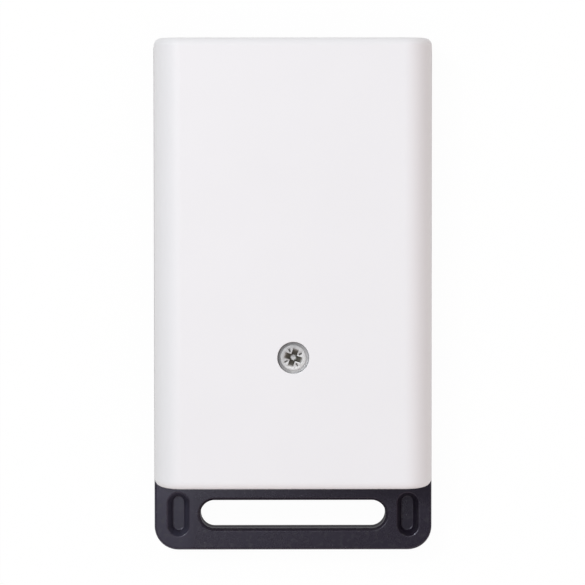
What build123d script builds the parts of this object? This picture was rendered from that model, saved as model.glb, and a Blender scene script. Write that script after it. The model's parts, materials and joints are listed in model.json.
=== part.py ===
from build123d import *
import os

# A slim hand-held wireless remote for room lights: a white back cover is screwed to a dark front frame, and
# the frame runs out past the cover as a flat tongue with a strap slot. Four keys on the front work push
# switches. It lies on its key side. X runs across the body, Y along it towards the end away from the tongue,
# and Z out of the back cover. The origin is under the middle of the body, on the plane of the front rim.
# Sizes are millimetres and degrees.

# Outer form
body_width = 42.0
body_length = 77.44
frame_depth = 4.7
cover_depth = 7.5
tongue_length = 9.9

# Front frame
frame_wall = 1.6
front_plate = 1.4
frame_top_corner = 1.65
tongue_corner = 3.6
front_edge_round = 0.9
rim_edge_round = 0.35
opening_edge_round = 0.25

# Tongue: a long slot with an oval pocket beside each end
slot_height = 4.3
slot_inset = 3.23
slot_side_web = 1.72
slot_edge_round = 0.3
slot_chamfer = 0.36
slot_chamfer_round = 0.16
pocket_length = 6.6
pocket_width = 3.2
pocket_depth = 1.9
pocket_wall_angle = 19.0
pocket_edge_round = 0.24
pocket_floor_round = 0.24

# Back cover
cover_step = 0.1
cover_wall = 1.5
cover_roof = 1.5
cover_shoulder = 4.2
cover_flank = 6.6
cover_end_round = 1.15
cover_top_draft = 2.2
cover_inner_round = 0.4
hole_edge_round = 0.12

# Locating tabs along the cover's sides and hooks at its top end
tab_length = 5.0
tab_thickness = 0.9
tab_reach = 1.3
tab_root = 2.0
tab_fit = 0.12
hook_spacing = 18.0
hook_length = 5.0
hook_reach = 0.6
hook_height = 0.8
hook_lip = 0.6

# Cover screw and what it goes through
screw_rise = 19.68
screw_length = 7.0
shank_diameter = 1.9
pilot_fit = 0.05
pilot_floor = 1.0
point_length = 1.4
head_diameter = 3.8
head_height = 1.3
head_sink = 0.5
head_edge_round = 0.5
head_gap = 0.45
shank_gap = 0.35
boss_diameter = 4.4
column_wall = 0.8
recess_span = 2.75
recess_wing = 0.86
recess_depth = 0.9
recess_turn = -18.0
recess_taper = 12.0
point_radius = 0.2

# Keys, two columns of two
key_columns = 2
key_rows = 2
key_web = 6.4
key_rib = 2.4
key_border = 4.2
key_top_margin = 11.6
key_end_margin = 2.7
key_corner = 2.0
key_gap = 0.15
key_recess = 0.2
key_face = 1.0
key_wall = 0.9
key_edge_round = 0.35
key_dish_radius = 5.4
key_dish_depth = 0.35
key_pip_diameter = 2.6
key_rib_thickness = 0.8
key_rib_drop = 0.3
flange_overhang = 0.7
flange_thickness = 0.8
flange_gap = 0.05
flange_corner = 3.0
key_travel = 0.35

# Push switches
switch_size = 5.2
switch_corner = 0.5
switch_base_height = 1.2
switch_floor = 0.4
switch_plate = 0.2
plunger_diameter = 2.3
plunger_stand = 0.55
plunger_gap = 0.1
well_diameter = 3.9
dome_diameter = 3.6
dome_crown = 1.2
dome_thickness = 0.1

# Circuit board and its supports
board_standoff = 2.9
board_thickness = 1.0
board_gap = 0.18
board_corner = 1.5
boss_stand = 1.2
boss_clearance = 0.3
post_diameter = 3.2
post_rise = 14.0
rib_length = 3.0
rib_gap = 0.25
pin_diameter = 1.6
pin_spacing = 24.0
pin_inset = 7.1
pin_stand = 0.6
pin_fit = 0.1
hold_wall = 0.8
hold_gap = 0.05

# Coin cell and its contacts
cell_diameter = 20.0
cell_height = 3.2
cell_rim_diameter = 17.4
cell_rim_height = 0.35
cell_edge_round = 0.3
cell_inset = 25.6
contact_height = 0.6
contact_span = 11.0
contact_foot = 1.6
contact_width = 5.0
contact_thickness = 0.2
clip_thickness = 0.3
clip_width = 8.0
clip_gap = 0.3
clip_foot = 2.2
clip_bend = 0.3

# Small parts on the board
lens_diameter = 2.0
lens_fit = 0.05
lens_flange = 3.4
lens_flange_height = 0.8
lens_gap = 0.1
lens_inset = 6.0
lens_crown = 0.3
led_length = 2.0
led_width = 1.25
led_height = 0.8
antenna_wire_diameter = 0.8
antenna_width = 27.0
antenna_length = 9.0
antenna_height = 2.0
antenna_bend = 1.0
antenna_inset = 2.4
chip_chamfer = 0.15
chip_dot_diameter = 0.5
chip_dot_depth = 0.1
micro_length = 6.0
micro_width = 4.0
micro_height = 1.2
radio_size = 4.0
radio_height = 0.9
crystal_length = 3.2
crystal_width = 2.5
crystal_height = 0.8
crystal_lid_step = 0.2
crystal_lid_corner = 0.4
chips_below_screw = 6.6
chips_apart = 8.6
crystal_step = 4.4
passive_length = 1.6
passive_width = 0.8
capacitor_height = 0.8
resistor_height = 0.5
resistor_step = 2.8
passive_pitch = 1.8
passive_count = 4

# Places that follow from those sizes
half_width = body_width / 2
top_end = body_length / 2
tongue_end = -body_length / 2
cover_end = tongue_end + tongue_length
cover_top = top_end - cover_step
cover_middle = (cover_top + cover_end) / 2
back = frame_depth + cover_depth
inner_half = half_width - frame_wall
inner_top = top_end - frame_wall
inner_end = cover_end + frame_wall
pocket_x = half_width - tongue_corner
slot_y = tongue_end + slot_inset + slot_height / 2
slot_length = 2 * (pocket_x - pocket_width / 2 - slot_side_web)

# Key openings: their size, and the centre of each in reading order seen from the front
keys_top = top_end - key_top_margin
keys_end = cover_end + key_end_margin
opening_width = (body_width - 2 * key_border - (key_columns - 1) * key_web) / key_columns
opening_height = (keys_top - keys_end - (key_rows - 1) * key_rib) / key_rows
column_pitch = opening_width + key_web
row_pitch = opening_height + key_rib
row_places = [keys_top - opening_height / 2 - row * row_pitch for row in range(key_rows)]
column_places = [column_pitch * ((key_columns - 1) / 2 - column) for column in range(key_columns)]
key_places = [(x, y) for y in row_places for x in column_places]

# Levels through the depth of the body
board_front = front_plate + board_standoff
board_back = board_front + board_thickness
switch_face = board_front - switch_base_height
plate_face = switch_face - switch_plate
plunger_tip = plate_face - plunger_stand
plunger_flange = switch_base_height - switch_floor - dome_thickness - key_travel
flange_face = front_plate + flange_gap
boss_top = board_back + boss_stand
roof = back - cover_roof
tab_top = frame_depth + tab_root
head_seat = back - head_sink - head_height
screw_tip = head_seat - screw_length
cell_base = board_back + contact_height
cell_top = cell_base + cell_height

# Board outline and the places on it
screw_y = cover_end + screw_rise
board_half = inner_half - tab_fit - tab_thickness - board_gap
board_top = inner_top - tab_fit - tab_thickness - board_gap
board_end = inner_end + board_gap
pin_y = top_end - pin_inset
hook_places = [-hook_spacing / 2, hook_spacing / 2]
pin_places = [(-pin_spacing / 2, pin_y), (pin_spacing / 2, pin_y)]
post_places = [(0, screw_y - post_rise), (0, screw_y + post_rise)]
lens_y = top_end - lens_inset
cell_y = top_end - cell_inset
chips_y = screw_y - chips_below_screw
antenna_end = board_end + antenna_inset


def block(x0, x1, y0, y1, z0, z1):
    """A plain block between two corners."""
    middle = Pos((x0 + x1) / 2, (y0 + y1) / 2, (z0 + z1) / 2)
    return middle * Box(x1 - x0, y1 - y0, z1 - z0)


def rod(diameter, z0, z1, x=0.0, y=0.0):
    """A round rod or hole along Z."""
    base = (Align.CENTER, Align.CENTER, Align.MIN)
    return Pos(x, y, z0) * Cylinder(diameter / 2, z1 - z0, align=base)


def pad(sketch, z0, z1):
    """A flat sketch raised from one level to another."""
    return Pos(0, 0, z0) * extrude(sketch, z1 - z0)


def front_rims(part):
    """The edges of every hole in the lowest face."""
    return [edge for wire in part.faces().sort_by(Axis.Z)[0].inner_wires() for edge in wire.edges()]


def back_rims(part):
    """The edges of every hole in the highest face."""
    return [edge for wire in part.faces().sort_by(Axis.Z)[-1].inner_wires() for edge in wire.edges()]


def slot_rims(part):
    """The edges of the slot in the highest face."""
    reach = slot_length / 2 + slot_chamfer
    return [edge for edge in back_rims(part) if abs(edge.center().X) < reach]


def tongue_block():
    """The frame's outer block, with the slot and the two pockets, and every outer edge rounded."""
    outline = Rectangle(body_width, body_length)
    outline = fillet(outline.vertices().group_by(Axis.Y)[-1], frame_top_corner)
    outline = fillet(outline.vertices().group_by(Axis.Y)[0], tongue_corner)
    frame = extrude(outline, frame_depth)
    frame = fillet(frame.faces().sort_by(Axis.Z)[0].edges(), front_edge_round)
    frame = fillet(frame.faces().sort_by(Axis.Z)[-1].edges(), rim_edge_round)
    for x in (-pocket_x, pocket_x):
        mouth = Pos(x, slot_y, frame_depth) * SlotOverall(pocket_length, pocket_width, rotation=90)
        frame -= extrude(mouth, pocket_depth, dir=(0, 0, -1), taper=pocket_wall_angle)
    frame = fillet(back_rims(frame), pocket_edge_round)
    pocket_floor = frame_depth - pocket_depth
    frame = fillet(frame.edges().filter_by_position(Axis.Z, pocket_floor, pocket_floor), pocket_floor_round)
    frame -= pad(Pos(0, slot_y) * SlotOverall(slot_length, slot_height), 0, frame_depth)
    frame = fillet(front_rims(frame), slot_edge_round)
    frame = chamfer(slot_rims(frame), slot_chamfer)
    return fillet(slot_rims(frame), slot_chamfer_round)


def board_supports():
    """Posts, pegs and side ribs that carry the circuit board, and the boss that takes the screw."""
    supports = rod(boss_diameter, front_plate, boss_top, 0, screw_y)
    for x, y in post_places:
        supports += rod(post_diameter, front_plate, board_front, x, y)
    for x, y in pin_places:
        supports += rod(post_diameter, front_plate, board_front, x, y)
        supports += rod(pin_diameter, board_front, board_back + pin_stand, x, y)
    rib_face = half_width - key_border + flange_overhang + rib_gap
    wall_middle = half_width - frame_wall / 2
    for y in row_places:
        rib = block(rib_face, wall_middle, y - rib_length / 2, y + rib_length / 2, front_plate, board_front)
        supports += rib
        supports += mirror(rib, Plane.YZ)
    return supports


def front_frame():
    """Tray with four key openings, board supports and the slotted tongue, moulded in one piece."""
    frame = tongue_block()
    inside = Rectangle(2 * inner_half, inner_top - inner_end)
    frame -= pad(Pos(0, (inner_top + inner_end) / 2) * inside, front_plate, frame_depth)
    opening = RectangleRounded(opening_width, opening_height, key_corner)
    for x, y in key_places:
        frame -= pad(Pos(x, y) * opening, 0, front_plate)
    key_rims = [edge for edge in front_rims(frame) if edge.center().Y > cover_end]
    frame = fillet(key_rims, opening_edge_round)
    frame += board_supports()
    frame -= rod(shank_diameter + 2 * pilot_fit, front_plate + pilot_floor, boss_top, 0, screw_y)
    frame -= rod(lens_diameter + 2 * lens_fit, 0, front_plate, 0, lens_y)
    catch_top = frame_depth - hook_lip
    catch_end = catch_top - hook_height - 2 * tab_fit
    for x in hook_places:
        left = x - hook_length / 2 - tab_fit
        right = x + hook_length / 2 + tab_fit
        frame -= block(left, right, inner_top, inner_top + hook_reach + tab_fit, catch_end, catch_top)
    return frame


def hood(width, length, depth, shoulder, flank, end_round):
    """A long form whose sides curve over to the back as quarter ellipses. Its top end leans in a little."""
    half = width / 2
    side = Line((half, 0), (half, depth - flank))
    side += EllipticalCenterArc((half - shoulder, depth - flank), shoulder, flank, arc_size=90)
    side += Line((half - shoulder, depth), (0, depth))
    section = make_face(side + mirror(side, Plane.YZ) + Line((-half, 0), (half, 0)))
    body = extrude(Plane.XZ * section, length / 2, both=True)
    beyond = Box(2 * width, depth, 4 * depth, align=(Align.CENTER, Align.MIN, Align.CENTER))
    body -= Pos(0, length / 2, 0) * Rot(cover_top_draft, 0, 0) * beyond
    for end in (0, -1):
        end_rim = body.faces().sort_by(Axis.Y)[end].edges().sort_by(Axis.Z)[1:]
        body = fillet(end_rim, end_round)
    return body


def side_tabs():
    """Tabs inside the cover's long walls that reach down into the frame and keep the two in line."""
    outer = inner_half - tab_fit
    inner = outer - tab_thickness
    tabs = []
    for row in row_places:
        for y in (row - row_pitch / 4, row + row_pitch / 4):
            low = y - tab_length / 2
            high = y + tab_length / 2
            tab = block(inner, outer, low, high, frame_depth - tab_reach, tab_top)
            tab += block(inner, outer + cover_wall / 2, low, high, frame_depth, tab_top)
            tabs += [tab, mirror(tab, Plane.YZ)]
    return tabs


def end_hooks():
    """Hooks at the cover's top end that go under a lip of the frame's end wall."""
    outer = inner_top - tab_fit
    inner = outer - tab_thickness
    hook_top = frame_depth - hook_lip - tab_fit
    hook_end = hook_top - hook_height
    hooks = []
    for x in hook_places:
        left = x - hook_length / 2
        right = x + hook_length / 2
        hook = block(left, right, inner, outer, hook_end, tab_top)
        hook += block(left, right, inner, outer + cover_wall / 2, frame_depth, tab_top)
        hook += block(left, right, outer, outer + hook_reach, hook_end, hook_top)
        hooks.append(hook)
    return hooks


def back_cover():
    """White shell with the screw column, the tubes that hold the board down, the tabs and the hooks."""
    width = body_width - 2 * cover_step
    length = cover_top - cover_end
    seat = Pos(0, cover_middle, frame_depth)
    cover = seat * hood(width, length, cover_depth, cover_shoulder, cover_flank, cover_end_round)
    inside = hood(
        width - 2 * cover_wall,
        length - 2 * cover_wall,
        cover_depth - cover_roof,
        cover_shoulder - cover_wall,
        cover_flank - cover_roof,
        cover_inner_round,
    )
    cover -= seat * inside
    in_roof = roof + cover_roof / 2
    bore = head_diameter + 2 * head_gap
    cover += rod(bore + 2 * column_wall, boss_top, in_roof, 0, screw_y)
    for x, y in pin_places:
        pin_hole = pin_diameter + 2 * pin_fit
        cover += rod(pin_hole + 2 * hold_wall, board_back + hold_gap, in_roof, x, y)
        cover -= rod(pin_hole, board_back, roof, x, y)
    for piece in side_tabs() + end_hooks():
        cover += piece
    cover -= rod(bore, head_seat, back, 0, screw_y)
    cover = fillet(back_rims(cover), hole_edge_round)
    cover -= rod(shank_diameter + 2 * shank_gap, boss_top, head_seat, 0, screw_y)
    return cover


def cover_screw():
    """Pan-head screw with a cross recess. Its shank cuts its own thread in the frame's boss."""
    head = rod(head_diameter, head_seat, head_seat + head_height)
    head = fillet(head.faces().sort_by(Axis.Z)[-1].edges(), head_edge_round)
    cross = Rectangle(recess_span, recess_wing) + Rectangle(recess_wing, recess_span)
    cross = Pos(0, 0, head_seat + head_height) * Rot(0, 0, recess_turn) * cross
    head -= extrude(cross, recess_depth, dir=(0, 0, -1), taper=recess_taper)
    shank = rod(shank_diameter, screw_tip + point_length, head_seat)
    base = (Align.CENTER, Align.CENTER, Align.MIN)
    point = Pos(0, 0, screw_tip) * Cone(point_radius, shank_diameter / 2, point_length, align=base)
    return Pos(0, screw_y, 0) * (head + shank + point)


def key(x, y):
    """A hollow cap with a round finger dish, a flange that keeps it in the frame and a pip on its switch."""
    width = opening_width - 2 * key_gap
    height = opening_height - 2 * key_gap
    flange_back = flange_face + flange_thickness
    cap = pad(RectangleRounded(width, height, key_corner - key_gap), key_recess, flange_back)
    cap = fillet(cap.faces().sort_by(Axis.Z)[0].edges(), key_edge_round)
    ball_radius = (key_dish_radius**2 + key_dish_depth**2) / (2 * key_dish_depth)
    cap -= Pos(0, 0, key_recess + key_dish_depth - ball_radius) * Sphere(ball_radius)
    flange_width = opening_width + 2 * flange_overhang
    flange_height = opening_height + 2 * flange_overhang
    cap += pad(RectangleRounded(flange_width, flange_height, flange_corner), flange_face, flange_back)
    inner_width = width - 2 * key_wall
    inner_height = height - 2 * key_wall
    cap -= pad(Rectangle(inner_width, inner_height), key_recess + key_face, flange_back)
    ribs = Rectangle(width, key_rib_thickness) + Rectangle(key_rib_thickness, height)
    cap += pad(ribs, key_recess + key_face, flange_back - key_rib_drop)
    cap += rod(key_pip_diameter, key_recess + key_face, plunger_tip)
    return Pos(x, y, 0) * cap


def switch_base(x, y):
    """Moulded base of a push switch, soldered to the board, with a round well for the dome."""
    base = pad(RectangleRounded(switch_size, switch_size, switch_corner), switch_face, board_front)
    base -= rod(well_diameter, switch_face, board_front - switch_floor)
    return Pos(x, y, 0) * base


def switch_cover(x, y):
    """Thin steel plate that closes the switch, with a hole for its plunger."""
    plate = pad(RectangleRounded(switch_size, switch_size, switch_corner), plate_face, switch_face)
    plate -= rod(plunger_diameter + 2 * plunger_gap, plate_face, switch_face)
    return Pos(x, y, 0) * plate


def switch_plunger(x, y):
    """Round plunger with a flange that stays behind the plate."""
    plunger = rod(plunger_diameter, plunger_tip, switch_face)
    plunger += rod(well_diameter - 2 * plunger_gap, switch_face, switch_face + plunger_flange)
    return Pos(x, y, 0) * plunger


def switch_dome(x, y):
    """Snap dome of spring steel under the plunger: a shallow dish with a flat crown."""
    crown = switch_face + plunger_flange
    floor = board_front - switch_floor
    section = Polyline(
        (0, crown),
        (dome_crown / 2, crown),
        (dome_diameter / 2, floor - dome_thickness),
        (dome_diameter / 2, floor),
        (dome_crown / 2, crown + dome_thickness),
        (0, crown + dome_thickness),
        close=True,
    )
    return Pos(x, y, 0) * revolve(Plane.XZ * make_face(section), Axis.Z)


def circuit_board():
    """Board with a hole for the screw boss and two for the locating pegs."""
    outline = RectangleRounded(2 * board_half, board_top - board_end, board_corner)
    board = pad(Pos(0, (board_top + board_end) / 2) * outline, board_front, board_back)
    board -= rod(boss_diameter + 2 * boss_clearance, board_front, board_back, 0, screw_y)
    for x, y in pin_places:
        board -= rod(pin_diameter + 2 * pin_fit, board_front, board_back, x, y)
    return board


def coin_cell():
    """Lithium coin cell, its smaller negative face towards the board."""
    can = rod(cell_diameter, cell_base + cell_rim_height, cell_top)
    can = fillet(can.edges().filter_by(GeomType.CIRCLE), cell_edge_round)
    return Pos(0, cell_y, 0) * (can + rod(cell_rim_diameter, cell_base, cell_base + cell_rim_height))


def cell_contact():
    """Bowed leaf spring on the board that presses on the cell's negative face."""
    half = contact_span / 2
    end = half + contact_foot
    low = board_back
    high = board_back + contact_thickness
    bow = contact_height - contact_thickness
    outline = Polyline((-half, low), (-end, low), (-end, high), (-half, high))
    outline += ThreePointArc((-half, high), (0, high + bow), (half, high))
    outline += Polyline((half, high), (end, high), (end, low), (half, low))
    outline += ThreePointArc((half, low), (0, low + bow), (-half, low))
    leaf = extrude(Plane.XZ * make_face(outline), contact_width / 2, both=True)
    return Pos(0, cell_y, 0) * leaf


def cell_clip():
    """Bent strap over the cell, soldered to the board at both feet: the positive contact."""
    inner = cell_diameter / 2 + clip_gap
    outer = inner + clip_thickness
    strap_top = cell_top + clip_thickness
    foot_top = board_back + clip_thickness
    right = [
        (outer, strap_top),
        (outer, foot_top),
        (outer + clip_foot, foot_top),
        (outer + clip_foot, board_back),
        (inner, board_back),
        (inner, cell_top),
    ]
    left = [(-x, z) for x, z in reversed(right)]
    strap = make_face(Polyline(*right, *left, close=True))
    for x in (-1, 1):
        outside = [(x * outer, strap_top), (x * inner, board_back)]
        inside = [(x * inner, cell_top), (x * outer, foot_top)]
        strap = fillet(corners_at(strap, outside), clip_bend + clip_thickness)
        strap = fillet(corners_at(strap, inside), clip_bend)
    return Pos(0, cell_y, 0) * extrude(Plane.XZ * strap, clip_width / 2, both=True)


def corners_at(sketch, places):
    """The corners of a sketch that lie nearest to the given places."""
    return [sketch.vertices().sort_by_distance((x, z, 0))[0] for x, z in places]


def indicator_lens():
    """Clear light guide from the indicator to the front, held by its flange."""
    guide = rod(lens_diameter, key_recess, board_front - led_height - lens_gap)
    guide = fillet(guide.faces().sort_by(Axis.Z)[0].edges(), lens_crown)
    return Pos(0, lens_y, 0) * (guide + rod(lens_flange, front_plate, front_plate + lens_flange_height))


def indicator_led():
    """Surface-mounted light on the front of the board, right behind its guide."""
    body = pad(Rectangle(led_length, led_width), board_front - led_height, board_front)
    return Pos(0, lens_y, 0) * chamfer(body.faces().sort_by(Axis.Z)[0].edges(), chip_chamfer)


def antenna_wire():
    """Stiff wire loop that stands on the back of the board at its tongue end."""
    half = antenna_width / 2
    near = antenna_end + antenna_length
    level = board_back + antenna_height
    route = FilletPolyline(
        (-half, near, board_back),
        (-half, near, level),
        (-half, antenna_end, level),
        (half, antenna_end, level),
        (half, near, level),
        (half, near, board_back),
        radius=antenna_bend,
    )
    section = Plane(origin=route @ 0, z_dir=route % 0) * Circle(antenna_wire_diameter / 2)
    return sweep(section, path=route)


def chip(length, width, height, x, y):
    """A moulded chip on the back of the board, with a chamfered top and a dot by its first pin."""
    body = pad(Rectangle(length, width), board_back, board_back + height)
    body = chamfer(body.faces().sort_by(Axis.Z)[-1].edges(), chip_chamfer)
    dot_x = chip_dot_diameter * 2 - length / 2
    dot_y = width / 2 - chip_dot_diameter * 2
    top = board_back + height
    body -= rod(chip_dot_diameter, top - chip_dot_depth, top, dot_x, dot_y)
    return Pos(x, y, 0) * body


def crystal():
    """Metal-lidded crystal: a base and a slightly smaller lid with rounded corners."""
    base = pad(Rectangle(crystal_length, crystal_width), board_back, board_back + crystal_height / 2)
    lid_length = crystal_length - 2 * crystal_lid_step
    lid_width = crystal_width - 2 * crystal_lid_step
    lid = RectangleRounded(lid_length, lid_width, crystal_lid_corner)
    base += pad(lid, board_back + crystal_height / 2, board_back + crystal_height)
    return Pos(chips_apart, chips_y - crystal_step, 0) * base


def passive_row(y, height):
    """A row of like surface-mounted parts between the two chips."""
    row = []
    for place in range(passive_count):
        x = passive_pitch * (place - (passive_count - 1) / 2)
        body = pad(Rectangle(passive_width, passive_length), board_back, board_back + height)
        row.append(Pos(x, y, 0) * chamfer(body.faces().sort_by(Axis.Z)[-1].edges(), chip_chamfer))
    return Compound(children=row)


nodes = {
    "back_cover": back_cover(),
    "front_frame": front_frame(),
    "cover_screw": cover_screw(),
    "circuit_board": circuit_board(),
    "coin_cell": coin_cell(),
    "cell_clip": cell_clip(),
    "cell_contact": cell_contact(),
    "indicator_lens": indicator_lens(),
    "indicator_led": indicator_led(),
    "antenna_wire": antenna_wire(),
    "microcontroller": chip(micro_length, micro_width, micro_height, -chips_apart, chips_y),
    "radio_chip": chip(radio_size, radio_size, radio_height, chips_apart, chips_y),
    "crystal": crystal(),
    "chip_capacitors": passive_row(chips_y, capacitor_height),
    "chip_resistors": passive_row(chips_y - resistor_step, resistor_height),
}
for number, (x, y) in enumerate(key_places, start=1):
    nodes[f"key_{number}"] = key(x, y)
    nodes[f"switch_plunger_{number}"] = switch_plunger(x, y)
    nodes[f"switch_dome_{number}"] = switch_dome(x, y)
    nodes[f"switch_cover_{number}"] = switch_cover(x, y)
    nodes[f"switch_base_{number}"] = switch_base(x, y)

os.makedirs("parts", exist_ok=True)
for name, solid in nodes.items():
    export_step(solid, f"parts/{name}.step")
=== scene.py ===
# %% [markdown]
# A hand-held wireless remote for room lights, seen from its back. The solids of the real product come in
# as a fixed frame: every node is already where it belongs, in metres. This lesson gives each of them its
# finish, models the screw again with more detail, puts merged copies in place of the snap domes, and sets
# up the table, the light and the camera.

import json
import math

import bpy
from mathutils import Matrix, Vector


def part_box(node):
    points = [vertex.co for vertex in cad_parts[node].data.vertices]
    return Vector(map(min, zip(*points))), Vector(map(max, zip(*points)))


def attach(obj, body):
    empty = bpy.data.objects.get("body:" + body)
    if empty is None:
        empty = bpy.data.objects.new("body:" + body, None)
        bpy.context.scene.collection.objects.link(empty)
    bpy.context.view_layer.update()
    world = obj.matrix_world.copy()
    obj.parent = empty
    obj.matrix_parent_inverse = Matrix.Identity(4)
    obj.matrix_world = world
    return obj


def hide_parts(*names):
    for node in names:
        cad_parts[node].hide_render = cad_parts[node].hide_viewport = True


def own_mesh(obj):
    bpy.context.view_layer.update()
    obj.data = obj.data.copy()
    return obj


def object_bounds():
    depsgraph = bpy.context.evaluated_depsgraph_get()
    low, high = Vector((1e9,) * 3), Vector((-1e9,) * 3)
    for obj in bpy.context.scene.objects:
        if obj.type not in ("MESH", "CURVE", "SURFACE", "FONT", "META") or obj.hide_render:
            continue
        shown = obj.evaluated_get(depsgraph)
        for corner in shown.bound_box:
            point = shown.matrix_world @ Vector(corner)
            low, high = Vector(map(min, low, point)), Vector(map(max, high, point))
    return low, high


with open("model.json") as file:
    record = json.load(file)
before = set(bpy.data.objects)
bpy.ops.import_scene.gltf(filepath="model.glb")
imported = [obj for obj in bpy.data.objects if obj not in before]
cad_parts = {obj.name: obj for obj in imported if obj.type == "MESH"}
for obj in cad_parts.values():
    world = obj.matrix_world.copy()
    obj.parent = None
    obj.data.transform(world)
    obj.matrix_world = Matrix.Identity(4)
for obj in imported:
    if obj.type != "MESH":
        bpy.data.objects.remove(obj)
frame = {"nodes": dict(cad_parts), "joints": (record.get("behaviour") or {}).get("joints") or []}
cad_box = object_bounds()
mm = 0.001

# %% [markdown]
# The photograph looks almost straight down on the back. Its long edges draw together a little towards the
# tongue, so the camera stands on the side of the other end by about two degrees, and it is close enough
# for the walls of the slot to show. A camera can be aimed with a constraint or turned by hand. Here its
# three axes are worked out from the tilt, the turn and the roll, because then each angle is one named
# value.

# %% Where the camera stands
camera_distance = 400 * mm
camera_tilt = math.radians(2.0)
camera_turn = math.radians(0.3)
camera_roll = math.radians(-0.04)
aim = Vector((-0.105 * mm, 0.57 * mm, cad_box[1].z))

towards_camera = Vector((
    -math.sin(camera_turn) * math.cos(camera_tilt),
    math.sin(camera_tilt),
    math.cos(camera_turn) * math.cos(camera_tilt),
))
level_right = Vector((0.0, 1.0, 0.0)).cross(towards_camera).normalized()
level_up = towards_camera.cross(level_right)
right = math.cos(camera_roll) * level_right + math.sin(camera_roll) * level_up
up = towards_camera.cross(right)
camera_place = aim + towards_camera * camera_distance
print("camera at", [round(value / mm, 1) for value in camera_place], "mm")

# %% Camera
picture_side = 585.0
sensor_width = 36.0
focal_pixels = 2696.0
clip_ratio = 100

camera_data = bpy.data.cameras.new("camera")
camera_data.sensor_width = sensor_width
camera_data.lens = focal_pixels / picture_side * sensor_width
camera_data.clip_start = camera_distance / clip_ratio
camera_data.clip_end = camera_distance * clip_ratio
camera = bpy.data.objects.new("camera", camera_data)
camera.location = camera_place
camera.rotation_euler = Matrix((right, up, towards_camera)).transposed().to_euler()
scene = bpy.context.scene
scene.collection.objects.link(camera)
scene.camera = camera
scene.view_settings.view_transform = "Standard"
print("camera with a lens of", round(camera_data.lens, 1), "mm")

# %% [markdown]
# Roughness, grain and colour change over a surface, and each change is a small sum of patterns. Such sums
# can be drawn as wires between nodes. Written as Python they are shorter and can be read: this class
# wraps one socket, and adding, subtracting, multiplying or comparing it adds a Math node. Any other node
# comes from one method.


# %% A socket that can be counted with
class Signal:
    """One socket in a node tree. Sums of it add Math nodes, and node() adds any other kind."""

    def __init__(self, tree, socket):
        self.tree = tree
        self.socket = socket

    def node(self, kind, settings=None, sockets=None, out=0):
        """Adds a node: first its settings, then the value or link of each of its sockets."""
        made = self.tree.nodes.new(kind)
        for name, value in (settings or {}).items():
            setattr(made, name, value)
        for name, value in (sockets or {}).items():
            if isinstance(value, Signal):
                self.tree.links.new(value.socket, made.inputs[name])
            else:
                made.inputs[name].default_value = value
        return Signal(self.tree, made.outputs[out])

    def math(self, operation, first, second=0.0):
        """Adds a Math node."""
        return self.node("ShaderNodeMath", {"operation": operation}, {0: first, 1: second})

    def __add__(self, other):
        return self.math("ADD", self, other)

    def __radd__(self, other):
        return self.math("ADD", other, self)

    def __sub__(self, other):
        return self.math("SUBTRACT", self, other)

    def __rsub__(self, other):
        return self.math("SUBTRACT", other, self)

    def __mul__(self, other):
        return self.math("MULTIPLY", self, other)

    def __rmul__(self, other):
        return self.math("MULTIPLY", other, self)

    def __lt__(self, other):
        return self.math("LESS_THAN", self, other)

    def __gt__(self, other):
        return self.math("GREATER_THAN", self, other)


print("sums of sockets become Math nodes")

# %% [markdown]
# A few small patterns are used by nearly every finish: one number out of a vector, a slope between two
# limits, a cloudy noise, a level that a noise makes uneven, and a blend of two colours. They could be
# node groups, kept in a file. As short functions they stay in view. Colours go through a Mix node,
# because a Math node would turn them grey.

# %% Patterns
mix_amount = 0
mix_first = 6
mix_second = 7
mix_result = 2


def part(vector, axis):
    """One of a vector's three numbers."""
    return vector.node("ShaderNodeSeparateXYZ", None, {"Vector": vector}, axis)


def along(vector, axis):
    """How far a vector reaches along an axis."""
    sockets = {0: vector, 1: axis}
    return vector.node("ShaderNodeVectorMath", {"operation": "DOT_PRODUCT"}, sockets, "Value")


def between(signal, limits, curve="LINEAR"):
    """0 at the first limit and before it, 1 at the second and past it, and a slope between them."""
    sockets = {"Value": signal, "From Min": limits[0], "From Max": limits[1]}
    return signal.node("ShaderNodeMapRange", {"interpolation_type": curve}, sockets)


def noise(place, per_mm, detail):
    """A cloudy pattern with so many lumps to the millimetre, from 0 to 1."""
    return place.node("ShaderNodeTexNoise", None, {"Vector": place, "Scale": per_mm / mm, "Detail": detail})


def uneven(level, spread, pattern):
    """A level that a pattern from 0 to 1 moves up and down, by half the spread each way."""
    return level + spread * (pattern - 0.5)


def blend(amount, first, second):
    """A colour between two colours. A Mix node has sockets of its own for colours."""
    sockets = {mix_amount: amount, mix_first: first, mix_second: second}
    return amount.node("ShaderNodeMix", {"data_type": "RGBA"}, sockets, mix_result)


print("patterns are ready")

# %% [markdown]
# Every finish starts in the same way: a new material with one Principled shader, the values that are the
# same all over it, and the object's own coordinates, which stay with the piece when it moves. Then each
# pattern is fed to one socket of the shader. A grain is a pattern that goes through a Bump node to the
# normal: modelled grain would need millions of faces.


# %% Starting and feeding a finish
def start_finish(name, constant):
    """A new material, the values that are the same all over it, and its object coordinates."""
    finish = bpy.data.materials.new(name)
    finish.use_nodes = True
    tree = finish.node_tree
    shader = tree.nodes["Principled BSDF"]
    for socket, value in constant.items():
        shader.inputs[socket].default_value = value
    coordinates = tree.nodes.new("ShaderNodeTexCoord")
    return finish, Signal(tree, coordinates.outputs["Object"])


def feed(place, socket, signal):
    """Links a signal to a socket of the material's shader."""
    place.tree.links.new(signal.socket, place.tree.nodes["Principled BSDF"].inputs[socket])


def grain(place, height, depth, strength):
    """Links a height pattern to the shader's normal, as a grain of the given depth."""
    sockets = {"Height": height, "Distance": depth, "Strength": strength}
    feed(place, "Normal", place.node("ShaderNodeBump", None, sockets))


print("finishes can be started, fed and grained")

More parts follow.
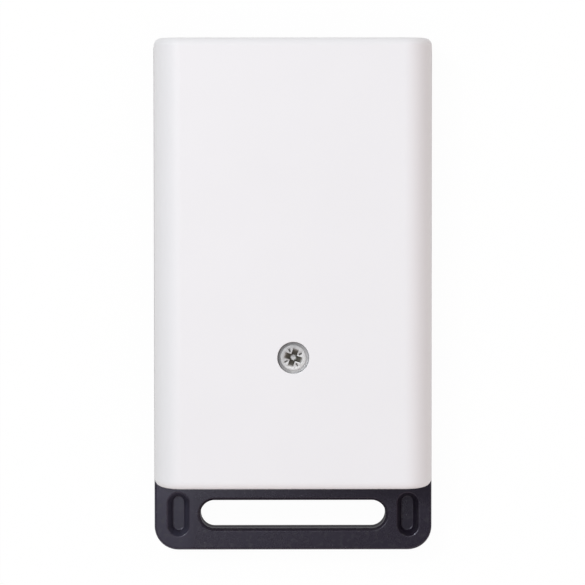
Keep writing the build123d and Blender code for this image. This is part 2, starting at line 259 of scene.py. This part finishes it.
# %% [markdown]
# The back cover is white satin plastic, moulded in a tool with a fine even grain, and so are the keys. A
# plain white material would look like paper: the real one is a little cool, is not quite even, and its
# grain breaks up the reflections. So the colour drifts between two close whites, and a fine noise moves
# the roughness and the surface.

# %% White satin moulding
plastic_ior = 1.49
cover_whites = ((0.844, 0.852, 0.884, 1.0), (0.820, 0.828, 0.858, 1.0))
key_whites = ((0.84, 0.835, 0.85, 1.0), (0.815, 0.81, 0.825, 1.0))


def white_moulding(name, whites, roughness):
    """Satin plastic that drifts between two whites, with fine pits."""
    finish, place = start_finish(name, {"IOR": plastic_ior})
    drift = noise(place, per_mm=0.09, detail=3.0)
    pits = noise(place, per_mm=9.0, detail=2.0)
    feed(place, "Base Color", blend(drift, *whites))
    feed(place, "Roughness", uneven(roughness, spread=0.08, pattern=pits))
    grain(place, pits, depth=0.004 * mm, strength=0.35)
    return finish


cover_white = white_moulding("cover white", cover_whites, roughness=0.46)
key_white = white_moulding("key white", key_whites, roughness=0.38)
print("made", cover_white.name, "and", key_white.name)

# %% [markdown]
# A few pale specks of dust and scuffed grain show on the dark tongue. They could be placed one by one. A
# cell pattern that keeps only some of its cells, and of those only the middles, scatters them over every
# side of the frame.

# %% Specks
speck_cells_per_mm = 1.5
speck_radius = 0.13
speck_chance = 0.14


def few_specks(place):
    """1 on a few small specks, and 0 elsewhere."""
    cells = {"Vector": place, "Scale": speck_cells_per_mm / mm}
    distance = place.node("ShaderNodeTexVoronoi", None, cells, "Distance")
    cell_colour = place.node("ShaderNodeTexVoronoi", None, cells, "Color")
    chance = cell_colour.node("ShaderNodeSeparateColor", None, {"Color": cell_colour}, "Red")
    return (distance < speck_radius) * (chance > 1 - speck_chance)


print("about one cell in", round(1 / speck_chance), "keeps its speck")

# %% [markdown]
# The frame is a nearly black plastic with a slight violet cast and a coarse, spark-eroded grain, and
# handling shows on it. The rims of the slot and the pockets are polished, the upright walls have stayed
# rough, and the end of the tongue is duller and faintly scuffed. Such wear could be painted on an image.
# Here masks choose the places, from where a point lies on the frame and from how upright the surface is
# there. That needs no image, and each kind of wear is one line. The same masks paint light by one pocket:
# its walls and corner are made paler, standing in for a reflection.

# %% Where the dark frame is worn, and where light is painted on it
handled_end = (-30.6 * mm, -32.0 * mm)
painted_light_end = (-29.0 * mm, -30.0 * mm)
painted_light_side = (-14.8 * mm, -16.2 * mm)
painted_light_on_flats = 0.18
scuff_levels = (0.52, 0.68)
rim_slopes = (0.005, 0.04)
wall_slopes = (0.25, 0.6)


def wear_and_painted_light(place):
    """Masks for the handled end, the painted light by one pocket, the scuffs, the polished rims and upright
    walls.
    """
    normal = place.node("ShaderNodeTexCoord", None, None, "Normal")
    upright = 1 - place.math("ABSOLUTE", part(normal, "Z"))
    lengthwise = part(place, "Y")
    handled = between(lengthwise, handled_end)
    # Painted light: a corner by the left pocket, most of all its walls, is made paler, standing in for
    # reflection.
    corner = between(lengthwise, painted_light_end) * between(part(place, "X"), painted_light_side)
    pocket_painted_light = corner * (painted_light_on_flats + (1 - painted_light_on_flats) * upright)
    scuffs = handled * between(noise(place, per_mm=1.3, detail=4.0), scuff_levels)
    polished = between(upright, rim_slopes) * (1 - between(upright, wall_slopes))
    return handled, pocket_painted_light, scuffs, polished, upright


print("the handled end starts at", round(handled_end[0] / mm, 1), "mm")

# %% Dark grained moulding
violet_sheen = (0.87, 0.85, 1.0, 1.0)
frame_blacks = ((0.0100, 0.0072, 0.0155, 1.0), (0.0125, 0.0094, 0.0182, 1.0))
painted_light_grey = (0.050, 0.049, 0.076, 1.0)
scuff_grey = (0.026, 0.025, 0.030, 1.0)
scuff_cover = 0.6
speck_grey = (0.056, 0.054, 0.062, 1.0)
flat_roughness = 0.19
duller_handled = 0.05
smoother_polished = 0.11
rougher_upright = 0.4


def dark_moulding(name):
    """Nearly black plastic with a coarse grain, specks, the marks of handling and painted light by one
    pocket.
    """
    finish, place = start_finish(name, {"IOR": plastic_ior, "Specular Tint": violet_sheen})
    handled, pocket_painted_light, scuffs, polished, upright = wear_and_painted_light(place)
    lumps = noise(place, per_mm=5.5, detail=3.0)
    dark = blend(noise(place, per_mm=0.25, detail=2.0), *frame_blacks)
    # Painted light: the pocket walls and flats in that corner get a paler colour.
    dark = blend(pocket_painted_light, dark, painted_light_grey)
    dark = blend(scuff_cover * scuffs, dark, scuff_grey)
    feed(place, "Base Color", blend(few_specks(place), dark, speck_grey))
    wear = duller_handled * handled - smoother_polished * polished + rougher_upright * upright
    feed(place, "Roughness", uneven(flat_roughness, spread=0.08, pattern=lumps) + wear)
    grain(place, lumps, depth=0.006 * mm, strength=0.45)
    return finish


frame_dark = dark_moulding("frame dark")
print("made", frame_dark.name)

# %% [markdown]
# Contacts, cell and aerial are bare metal and share one recipe: a metallic shader whose roughness is
# broken up by fine scratches and soft stains. Scratches could be drawn as lines. A noise that a Mapping
# node stretches along one direction looks the same at this size, and it serves every piece.

# %% Metals
scratch_stretch = (1.0, 0.08, 1.0)


def bare_metal(name, colour, roughness, wear):
    """Metal of one colour, with scratches and stains in its roughness."""
    finish, place = start_finish(name, {"Metallic": 1.0, "Base Color": colour})
    stretched = place.node("ShaderNodeMapping", None, {"Vector": place, "Scale": scratch_stretch})
    scratches = noise(stretched, per_mm=14.0, detail=3.0)
    stains = noise(place, per_mm=1.2, detail=3.0)
    feed(place, "Roughness", uneven(uneven(roughness, wear, scratches), wear, stains))
    grain(place, scratches, depth=0.003 * mm, strength=0.4)
    return finish


bright_tin = bare_metal("bright tin", (0.72, 0.71, 0.68, 1.0), roughness=0.28, wear=0.12)
nickel_can = bare_metal("nickel can", (0.68, 0.67, 0.65, 1.0), roughness=0.24, wear=0.1)
copper = bare_metal("copper wire", (0.78, 0.40, 0.24, 1.0), roughness=0.3, wear=0.1)
print("made", bright_tin.name + ",", nickel_can.name, "and", copper.name)

# %% [markdown]
# The screw is zinc plated and has been driven once. Its top is bright and finely turned, with soft stains
# in its plating. Shade is painted into its colour: the head is darker towards one side, the collar round it
# is darker still on that side, and the recess is painted a dark brownish shade, apart from its bright
# middle.
# Several materials on one mesh could show that, with hard borders. One material that knows where it is
# gives soft ones: a Mapping node moves the origin to the middle of the head's top, and depth, distance from
# the axis and side say what is recess, collar or plain top.

# %% Sizes of the screw
screw_low, screw_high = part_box("cover_screw")
screw_axis = (screw_low + screw_high) / 2
head_top = Vector((screw_axis.x, screw_axis.y, screw_high.z))
head_height = 1.3 * mm
head_radius = (screw_high.x - screw_low.x) / 2
recess_span = 2.75 * mm
print("head", round(2 * head_radius / mm, 2), "mm across, recess", round(recess_span / mm, 2), "mm")

# %% Plated screw
recess_shade_depths = (0.04 * mm, 0.35 * mm)
recess_shade_reaches = (0.25 * mm, 0.55 * mm)
recess_shade_brown = (0.20, 0.193, 0.17, 1.0)
painted_shade_side = (-0.5, 0.85, 0.0)
stain_and_shade_middle = 0.5
painted_shade_per_mm = 0.26
zinc_greys = ((0.72, 0.72, 0.72, 1.0), (0.42, 0.42, 0.43, 1.0))
collar_shade_side = (-0.8, 0.6, 0.0)
collar_shade_limits = (-1.2 * mm, 1.4 * mm)
collar_shade_reach = 1.89 * mm
collar_shade_grey = (0.24, 0.24, 0.245, 1.0)
zinc_roughness = 0.52
rougher_recess = 0.06
turning_pitch = 0.09 * mm


def plated_screw(name):
    """Zinc plating with stains and painted shade in the recess, on one side of the head and on the collar.
    """
    finish, place = start_finish(name, {"Metallic": 1.0})
    centred = place.node("ShaderNodeMapping", None, {"Vector": place, "Location": -head_top})
    depth = -1.0 * part(centred, "Z")
    flat = centred.node("ShaderNodeVectorMath", {"operation": "MULTIPLY"}, {0: centred, 1: (1.0, 1.0, 0.0)})
    reach = flat.node("ShaderNodeVectorMath", {"operation": "LENGTH"}, {0: flat}, "Value")
    stains = noise(place, per_mm=2.2, detail=3.0)
    # Soft stains, plus painted shade: the head grows darker towards the shaded side.
    stains_and_shade = uneven(stain_and_shade_middle, spread=0.6, pattern=stains) + painted_shade_per_mm / mm * along(centred, painted_shade_side)
    # Painted shade: the collar is darkened on its upper-left side.
    collar_shade = between(along(centred, collar_shade_side), collar_shade_limits) * (reach > collar_shade_reach)
    zinc_grey = blend(collar_shade, blend(stains_and_shade, *zinc_greys), collar_shade_grey)
    in_head = (reach < recess_span / 2) * (depth < head_height)
    # Painted shade: the recess is darkened and browned with depth, except in its middle.
    recess_shade = between(depth, recess_shade_depths) * between(reach, recess_shade_reaches) * in_head
    feed(place, "Base Color", blend(recess_shade, zinc_grey, recess_shade_brown))
    feed(place, "Roughness", uneven(zinc_roughness, spread=0.14, pattern=stains) + rougher_recess * recess_shade)
    turned = place.math("SINE", reach * (2 * math.pi / turning_pitch))
    grain(place, turned + stains, depth=0.002 * mm, strength=0.35)
    return finish


zinc = plated_screw("zinc plating")
print("made", zinc.name)

# %% [markdown]
# Inside are a green circuit board, black chips and switches, pale ceramic parts, a small light and its
# clear guide. They are closed in, so flat colours would do for most views. But the meshes are parts in
# their own right, so each has the grain of the real one: a lumpy moulding, a board with raised tracks, a
# hazy guide.


# %% Finishes inside
def moulded(name, colours, roughness, lumps_per_mm):
    """A plain moulding whose colour and roughness are a little uneven."""
    finish, place = start_finish(name, {})
    lumps = noise(place, lumps_per_mm, detail=3.0)
    feed(place, "Base Color", blend(lumps, *colours))
    feed(place, "Roughness", uneven(roughness, spread=0.15, pattern=lumps))
    grain(place, lumps, depth=0.004 * mm, strength=0.3)
    return finish


chip_blacks = ((0.020, 0.020, 0.022, 1.0), (0.030, 0.030, 0.032, 1.0))
switch_blacks = ((0.026, 0.026, 0.028, 1.0), (0.036, 0.036, 0.038, 1.0))
ceramic_browns = ((0.40, 0.28, 0.18, 1.0), (0.46, 0.34, 0.23, 1.0))
light_creams = ((0.84, 0.80, 0.66, 1.0), (0.90, 0.88, 0.78, 1.0))
chip_black = moulded("chip black", chip_blacks, roughness=0.55, lumps_per_mm=8.0)
switch_black = moulded("switch black", switch_blacks, roughness=0.45, lumps_per_mm=5.0)
ceramic = moulded("ceramic", ceramic_browns, roughness=0.5, lumps_per_mm=6.0)
light_body = moulded("light body", light_creams, roughness=0.25, lumps_per_mm=4.0)
print("made", chip_black.name + ",", switch_black.name + ",", ceramic.name, "and", light_body.name)

# %% Board and clear guide
board_greens = ((0.012, 0.105, 0.045, 1.0), (0.018, 0.130, 0.058, 1.0))
track_green = (0.035, 0.205, 0.085, 1.0)
tracks_per_mm = 0.22
guide_tints = ((0.93, 0.95, 0.95, 1.0), (0.97, 0.98, 0.98, 1.0))


def solder_mask(name):
    """Green lacquer on a woven board, with tracks that stand out a little."""
    finish, place = start_finish(name, {"Coat Weight": 0.4, "Coat Roughness": 0.12})
    sockets = {"Vector": place, "Scale": tracks_per_mm / mm, "Mortar Size": 0.06, "Mortar Smooth": 0.2}
    tracks = place.node("ShaderNodeTexBrick", {"offset": 0.37}, sockets, "Fac")
    weave = noise(place, per_mm=2.5, detail=2.0)
    feed(place, "Base Color", blend(tracks, blend(weave, *board_greens), track_green))
    feed(place, "Roughness", 0.35 + 0.1 * weave)
    grain(place, tracks, depth=0.03 * mm, strength=0.5)
    return finish


def clear_plastic(name):
    """Clear plastic with a little haze."""
    finish, place = start_finish(name, {"Transmission Weight": 1.0, "IOR": plastic_ior})
    haze = noise(place, per_mm=3.0, detail=2.0)
    feed(place, "Base Color", blend(haze, *guide_tints))
    feed(place, "Roughness", 0.06 + 0.06 * haze)
    return finish


board_green = solder_mask("solder mask")
guide_clear = clear_plastic("clear guide")
print("made", board_green.name, "and", guide_clear.name)

# %% [markdown]
# A solid whose shape is right needs nothing but its finish. Finishes could be given piece by piece. Each
# solid came in with a material named for its slot in the record, so a list of slots is enough for all of
# them.

# %% Dress the solids
finishes = {
    "white_shell": cover_white,
    "white_key": key_white,
    "dark_shell": frame_dark,
    "plated_screw": zinc,
    "tinned_metal": bright_tin,
    "cell_can": nickel_can,
    "copper_wire": copper,
    "board_laminate": board_green,
    "clear_guide": guide_clear,
    "chip_moulding": chip_black,
    "switch_plastic": switch_black,
    "capacitor_ceramic": ceramic,
    "led_body": light_body,
}
for node in frame["nodes"].values():
    material_slot = node.material_slots[0]
    material_slot.material = finishes[material_slot.material.name]
print("dressed", len(frame["nodes"]), "solids in", len(finishes), "finishes")

# %% [markdown]
# Operators in edit mode work on what is selected. By hand that is a click. In a script, faces and edges
# are found by their place, so these helpers leave just the wanted ones selected. A modifier is applied as
# soon as it is set, and a finished piece gets its place, turn and size into its mesh.


# %% Ways of selecting
def nothing_selected():
    """Object mode with nothing selected, where every new piece starts."""
    if bpy.context.object and bpy.context.object.mode != "OBJECT":
        bpy.ops.object.mode_set(mode="OBJECT")
    bpy.ops.object.select_all(action="DESELECT")


def select_in(piece, kind, wanted):
    """Edit mode with only the wanted faces or edges selected. wanted is asked about each one's middle."""
    bpy.ops.object.mode_set(mode="EDIT")
    bpy.ops.mesh.select_mode(type=kind)
    bpy.ops.mesh.select_all(action="DESELECT")
    bpy.ops.object.mode_set(mode="OBJECT")
    points = piece.data.vertices
    if kind == "FACE":
        for face in piece.data.polygons:
            face.select = wanted(face.center)
    else:
        for edge in piece.data.edges:
            edge.select = wanted((points[edge.vertices[0]].co + points[edge.vertices[1]].co) / 2)
    bpy.ops.object.mode_set(mode="EDIT")


def apply_modifier(piece, kind, settings):
    """Adds a modifier with the given settings and applies it."""
    modifier = piece.modifiers.new(kind.lower(), kind)
    for name, value in settings.items():
        setattr(modifier, name, value)
    bpy.context.view_layer.objects.active = piece
    bpy.ops.object.modifier_apply(modifier=modifier.name)


def settle(piece, name):
    """Puts a piece's place, turn and size into its mesh, so that its object sits at the origin."""
    nothing_selected()
    piece.select_set(True)
    bpy.context.view_layer.objects.active = piece
    bpy.ops.object.transform_apply(location=True, rotation=True, scale=True)
    piece.name = name
    piece.data.name = name


print("selection helpers are ready")

# %% [markdown]
# The screw is what the eye goes to on the plain cover, so it is modelled again: a flat head with a thin
# collar round it, a cross recess with tick marks between its wings, and a thread on the shank. It could
# be put together from several cylinders. As one skin it has no seams: a cylinder makes the collar, its
# top is inset and drawn up for the head, the rim is bevelled, and the shank is drawn out of the lower
# face.

# %% Screw head
head_seat = screw_high.z - head_height
collar_radius = 2.29 * mm
collar_height = 1.12 * mm
rim_round = 0.05 * mm
hair = 0.01 * mm

nothing_selected()
bpy.ops.mesh.primitive_cylinder_add(
    vertices=96,
    radius=collar_radius,
    depth=collar_height,
    location=(screw_axis.x, screw_axis.y, head_seat + collar_height / 2),
)
screw = bpy.context.object
settle(screw, "cover_screw_threaded")
select_in(screw, "FACE", lambda middle: middle.z > head_seat + collar_height - hair)
bpy.ops.mesh.inset(thickness=collar_radius - head_radius)
above_collar = (0.0, 0.0, head_height - collar_height)
bpy.ops.mesh.extrude_region_move(TRANSFORM_OT_translate={"value": above_collar})
select_in(screw, "EDGE", lambda middle: middle.z > screw_high.z - hair)
bpy.ops.mesh.bevel(offset=rim_round, segments=6, profile=0.5, affect="EDGES")
print("head with a collar", round(2 * collar_radius / mm, 2), "mm across")

# %% Screw shank
shank_radius = 0.85 * mm
point_length = 1.4 * mm
point_scale = 0.2

select_in(screw, "FACE", lambda middle: middle.z < head_seat + hair)
bpy.ops.mesh.inset(thickness=collar_radius - shank_radius)
straight = head_seat - screw_low.z - point_length
bpy.ops.mesh.extrude_region_move(TRANSFORM_OT_translate={"value": (0.0, 0.0, -straight)})
bpy.ops.mesh.extrude_region_move(TRANSFORM_OT_translate={"value": (0.0, 0.0, -point_length)})
tip = (screw_axis.x, screw_axis.y, screw_low.z)
bpy.ops.transform.resize(value=(point_scale, point_scale, 1.0), center_override=tip)
bpy.ops.object.mode_set(mode="OBJECT")
print("screw blank of", len(screw.data.polygons), "faces")

# %% [markdown]
# The recess could be drawn into the head by hand. It is easier to model the driver that pressed it: a
# tapered blade, used twice to make a cross, and a small wedge, used four times for the tick marks between
# the wings. A Boolean modifier takes each of them out of the head.


# %% Driver that pressed the recess
def pressed(piece, size, centre, taper, turn):
    """Presses a tapered block into a piece, turned about the screw's axis. centre is on its upper face."""
    length, width, depth = size
    nothing_selected()
    bpy.ops.mesh.primitive_cube_add(size=1.0, location=centre - Vector((0.0, 0.0, depth / 2)))
    block = bpy.context.object
    block.scale = (length, width, depth)
    settle(block, "driver")
    foot = (centre.x, centre.y, centre.z - depth)
    select_in(block, "FACE", lambda middle: middle.z < foot[2] + hair)
    bpy.ops.transform.resize(value=(taper[0], taper[1], 1.0), center_override=foot)
    bpy.ops.mesh.select_all(action="SELECT")
    bpy.ops.transform.rotate(value=-turn, orient_axis="Z", center_override=head_top)
    bpy.ops.object.mode_set(mode="OBJECT")
    apply_modifier(piece, "BOOLEAN", {"operation": "DIFFERENCE", "object": block, "solver": "EXACT"})
    bpy.data.objects.remove(block)


wing_size = (recess_span, 0.86 * mm, 1.15 * mm)
wing_taper = (0.30, 0.55)
tick_size = (0.58 * mm, 0.28 * mm, 0.30 * mm)
tick_taper = (0.5, 0.2)
tick_reach = 1.2 * mm
recess_turn = math.radians(-18.0)
driver_rise = 0.02 * mm
wing_centre = head_top + Vector((0.0, 0.0, driver_rise))
tick_centre = wing_centre + Vector((tick_reach, 0.0, 0.0))
quarter_turn = math.pi / 2
for quarter in range(2):
    pressed(screw, wing_size, wing_centre, wing_taper, recess_turn + quarter * quarter_turn)
for quarter in range(4):
    pressed(screw, tick_size, tick_centre, tick_taper, recess_turn + (quarter + 0.5) * quarter_turn)
print("head with recess and tick marks:", len(screw.data.polygons), "faces")

# %% [markdown]
# The sharp edges of collar, recess and ticks would look cut from paper, so a narrow Bevel modifier breaks
# them. The thread could be cut as grooves. On a real screw it is rolled up out of the shank, so here it
# is added: a small triangle is carried round the shank while it climbs. The Screw modifier does exactly
# that, with one turn, so much climb and so many repeats. Its two open ends are filled.

# %% Broken edges and thread
broken_edge = 0.03 * mm
sharp_angle = math.radians(35.0)
thread_pitch = 0.8 * mm
thread_height = 0.18 * mm
thread_steps = 40
thread_start = screw_low.z + point_length
thread_turns = int((head_seat - thread_start) / thread_pitch) - 1

bevel = {"width": broken_edge, "segments": 2, "limit_method": "ANGLE", "angle_limit": sharp_angle}
apply_modifier(screw, "BEVEL", bevel)
nothing_selected()
bpy.ops.mesh.primitive_circle_add(
    vertices=3,
    radius=thread_height,
    location=(screw_axis.x, screw_axis.y, thread_start),
    rotation=(math.pi / 2, 0.0, 0.0),
)
thread = bpy.context.object
bpy.ops.object.transform_apply(location=False, rotation=True, scale=True)
bpy.ops.object.mode_set(mode="EDIT")
bpy.ops.mesh.select_all(action="SELECT")
bpy.ops.transform.translate(value=(shank_radius, 0.0, thread_height))
bpy.ops.object.mode_set(mode="OBJECT")
climb = {"angle": 2 * math.pi, "screw_offset": thread_pitch, "iterations": thread_turns}
apply_modifier(thread, "SCREW", {**climb, "steps": thread_steps, "render_steps": thread_steps})
bpy.ops.object.mode_set(mode="EDIT")
bpy.ops.mesh.select_all(action="SELECT")
bpy.ops.mesh.fill_holes(sides=3)
bpy.ops.mesh.normals_make_consistent(inside=False)
bpy.ops.object.mode_set(mode="OBJECT")
print("thread of", thread_turns, "turns and", len(thread.data.polygons), "faces")

# %% [markdown]
# A Boolean joins the thread to the screw, and faces that meet at a small angle are shaded as one round
# surface. The piece then takes the place of the plain solid: it goes with the housing, and the solid is
# left out.

# %% Finish the screw
apply_modifier(screw, "BOOLEAN", {"operation": "UNION", "object": thread, "solver": "EXACT"})
bpy.data.objects.remove(thread)
settle(screw, "cover_screw_threaded")
bpy.ops.object.shade_smooth_by_angle(angle=sharp_angle)
screw.data.materials.clear()
screw.data.materials.append(zinc)
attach(screw, "housing")
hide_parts("cover_screw")
print("screw of", len(screw.data.polygons), "faces")

# %% [markdown]
# Each key works a push switch with a snap dome of thin spring steel, which gives way when the key goes
# in. A rigid copy would be cut by the plunger, and a shape key would have to be driven. Here each dome is a
# copy of its solid, merged to one skin and shaded smooth, that goes with the housing in place of the solid.

# %% Snap domes
dome_smooth_angle = math.radians(30.0)
for joint in frame["joints"]:
    number = joint["name"].split("_")[1]
    node_name = f"switch_dome_{number}"
    nothing_selected()
    dome = bpy.data.objects.new(f"snap_dome_{number}", frame["nodes"][node_name].data.copy())
    scene.collection.objects.link(dome)
    dome.select_set(True)
    bpy.context.view_layer.objects.active = dome
    bpy.ops.object.mode_set(mode="EDIT")
    bpy.ops.mesh.select_all(action="SELECT")
    bpy.ops.mesh.remove_doubles(threshold=hair / 10)
    bpy.ops.object.mode_set(mode="OBJECT")
    bpy.ops.object.shade_smooth_by_angle(angle=dome_smooth_angle)
    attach(dome, "housing")
    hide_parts(node_name)
    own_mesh(dome)

# %% [markdown]
# The remote lies on a white table under soft light. The picture's background is pure white. More light
# would whiten the table and the remote too, so the white comes from the table's own material: what the
# camera sees of it, straight or in a reflection, is mostly white by itself, with a share of real shading
# so that the shadow stays. The table can be looked through from below, and lets light up to the key side.

# %% Table
table_size = 4.0
table_level = -0.02 * mm
nothing_selected()
bpy.ops.mesh.primitive_plane_add(size=table_size, location=(0.0, 0.0, table_level))
table = bpy.context.object
settle(table, "table")
print("table of", table_size, "metres")

# %% White of the table
contact_reach = 3.0 * mm
glow_share = 0.97
white = (1.0, 1.0, 1.0, 1.0)
seen_white = (0.98, 0.98, 0.98, 1.0)
bounce_grey = (0.58, 0.56, 0.53, 1.0)


def either(first, second):
    """1 where one of two masks is 1."""
    return first.math("MAXIMUM", first, second)


table_finish = bpy.data.materials.new("white table")
table_finish.use_nodes = True
table_tree = table_finish.node_tree
table_tree.nodes.clear()
rays = table_tree.nodes.new("ShaderNodeLightPath").outputs
straight_ray = Signal(table_tree, rays["Is Camera Ray"])
mirrored_ray = Signal(table_tree, rays["Is Glossy Ray"])
through_ray = Signal(table_tree, rays["Is Transmission Ray"])
ray_length = Signal(table_tree, rays["Ray Length"])
from_below = Signal(table_tree, table_tree.nodes.new("ShaderNodeNewGeometry").outputs["Backfacing"])
seen = either(straight_ray, either(mirrored_ray, through_ray))
passes = either(from_below, (ray_length < contact_reach) * (1 - straight_ray))
matte = seen.node("ShaderNodeBsdfDiffuse", None, {"Color": blend(seen, bounce_grey, seen_white)})
glow = seen.node("ShaderNodeEmission", None, {"Color": white, "Strength": 1.0})
clear = seen.node("ShaderNodeBsdfTransparent")
shown = seen.node("ShaderNodeMixShader", None, {0: seen * glow_share, 1: matte, 2: glow})
surface = seen.node("ShaderNodeMixShader", None, {0: passes, 1: shown, 2: clear})
table_output = table_tree.nodes.new("ShaderNodeOutputMaterial")
table_tree.links.new(surface.socket, table_output.inputs["Surface"])
table.data.materials.append(table_finish)
print("made", table_finish.name)

# %% [markdown]
# The light in the picture is soft and comes from all round. The room has a dim ceiling, which keeps the
# dark tongue dark, brighter ends, which light the two ends of the cover, and a warmer, brighter side low
# at the lower right, where the cover's edge has a rosy tint. A picture of a real room could give all
# this. Sums of the direction do it without a file. The camera sees plain white instead, and so does clear
# plastic. Reflections see the room itself, because a white world in them would turn the tongue grey.

# %% Room
horizon = 0.36
sides = 0.595
ceiling = 0.14
wall_heights = (0.0, 0.5)
ceiling_heights = (0.80, 0.97)
ends_gain = 0.80
warm_gain = 0.54
warm_fall = 0.50
warm_direction = (0.70, -0.55, 0.0)
room_tints = ((0.97, 1.0, 0.985, 1.0), (1.14, 0.97, 0.93, 1.0))

world = bpy.data.worlds.new("soft room")
scene.world = world
world.use_nodes = True
world_tree = world.node_tree
world_tree.nodes.clear()
direction = Signal(world_tree, world_tree.nodes.new("ShaderNodeTexCoord").outputs["Generated"])
height_up = direction.math("ABSOLUTE", part(direction, "Z"))
to_sides = between(height_up, wall_heights, "SMOOTHSTEP")
to_ceiling = between(height_up, ceiling_heights, "SMOOTHSTEP")
level = horizon + (sides - horizon) * to_sides - (sides - ceiling) * to_ceiling
to_ends = along(direction, (0.0, 1.0, 0.0))
to_warm = along(direction, warm_direction)
room = level * (1 + ends_gain * to_ends * to_ends + to_warm * (warm_gain - warm_fall * height_up))
room_tint = blend(0.5 + 0.5 * to_warm, *room_tints)
print("room from", ceiling, "overhead to", sides, "at the sides")

# %% White behind the object
world_rays = world_tree.nodes.new("ShaderNodeLightPath").outputs
seen_straight = Signal(world_tree, world_rays["Is Camera Ray"])
seen_through = Signal(world_tree, world_rays["Is Transmission Ray"])
backdrop = either(seen_straight, seen_through)
world_sockets = {"Color": blend(backdrop, room_tint, white), "Strength": room + backdrop * (1 - room)}
background = backdrop.node("ShaderNodeBackground", None, world_sockets)
world_output = world_tree.nodes.new("ShaderNodeOutputWorld")
world_tree.links.new(background.socket, world_output.inputs["Surface"])
print("the camera sees white, the object sees the room")

# %% [markdown]
# Two lamps give the light its direction. A tall window at the upper left gives about a third of the light
# on the back, and its reflection is the sheen on the tongue. A small lamp beside it puts the glints on
# the rims of the pockets and shades one side of the screw's hole. One bright sun could do both, with hard
# shadows that the picture doesn't have. Together with the room they light the back at a plain level.

# %% Lamps
cool_light = (0.97, 1.0, 1.02)


def lamp(name, place, size, power):
    """A soft rectangular lamp that looks at the middle of the object."""
    data = bpy.data.lights.new(name, "AREA")
    data.shape = "RECTANGLE"
    data.size = size[0]
    data.size_y = size[1]
    data.energy = power
    data.color = cool_light
    made = bpy.data.objects.new(name, data)
    made.location = place
    made.rotation_euler = place.to_track_quat("Z", "Y").to_euler()
    scene.collection.objects.link(made)


window_place = Vector((-0.25, 0.16, 0.78))
small_lamp_place = Vector((-0.32, 0.30, 0.60))
lamp("window", window_place, size=(0.30, 0.72), power=2.38)
lamp("small lamp", small_lamp_place, size=(0.06, 0.06), power=0.82)
print("lit by the room, a window and a small lamp")
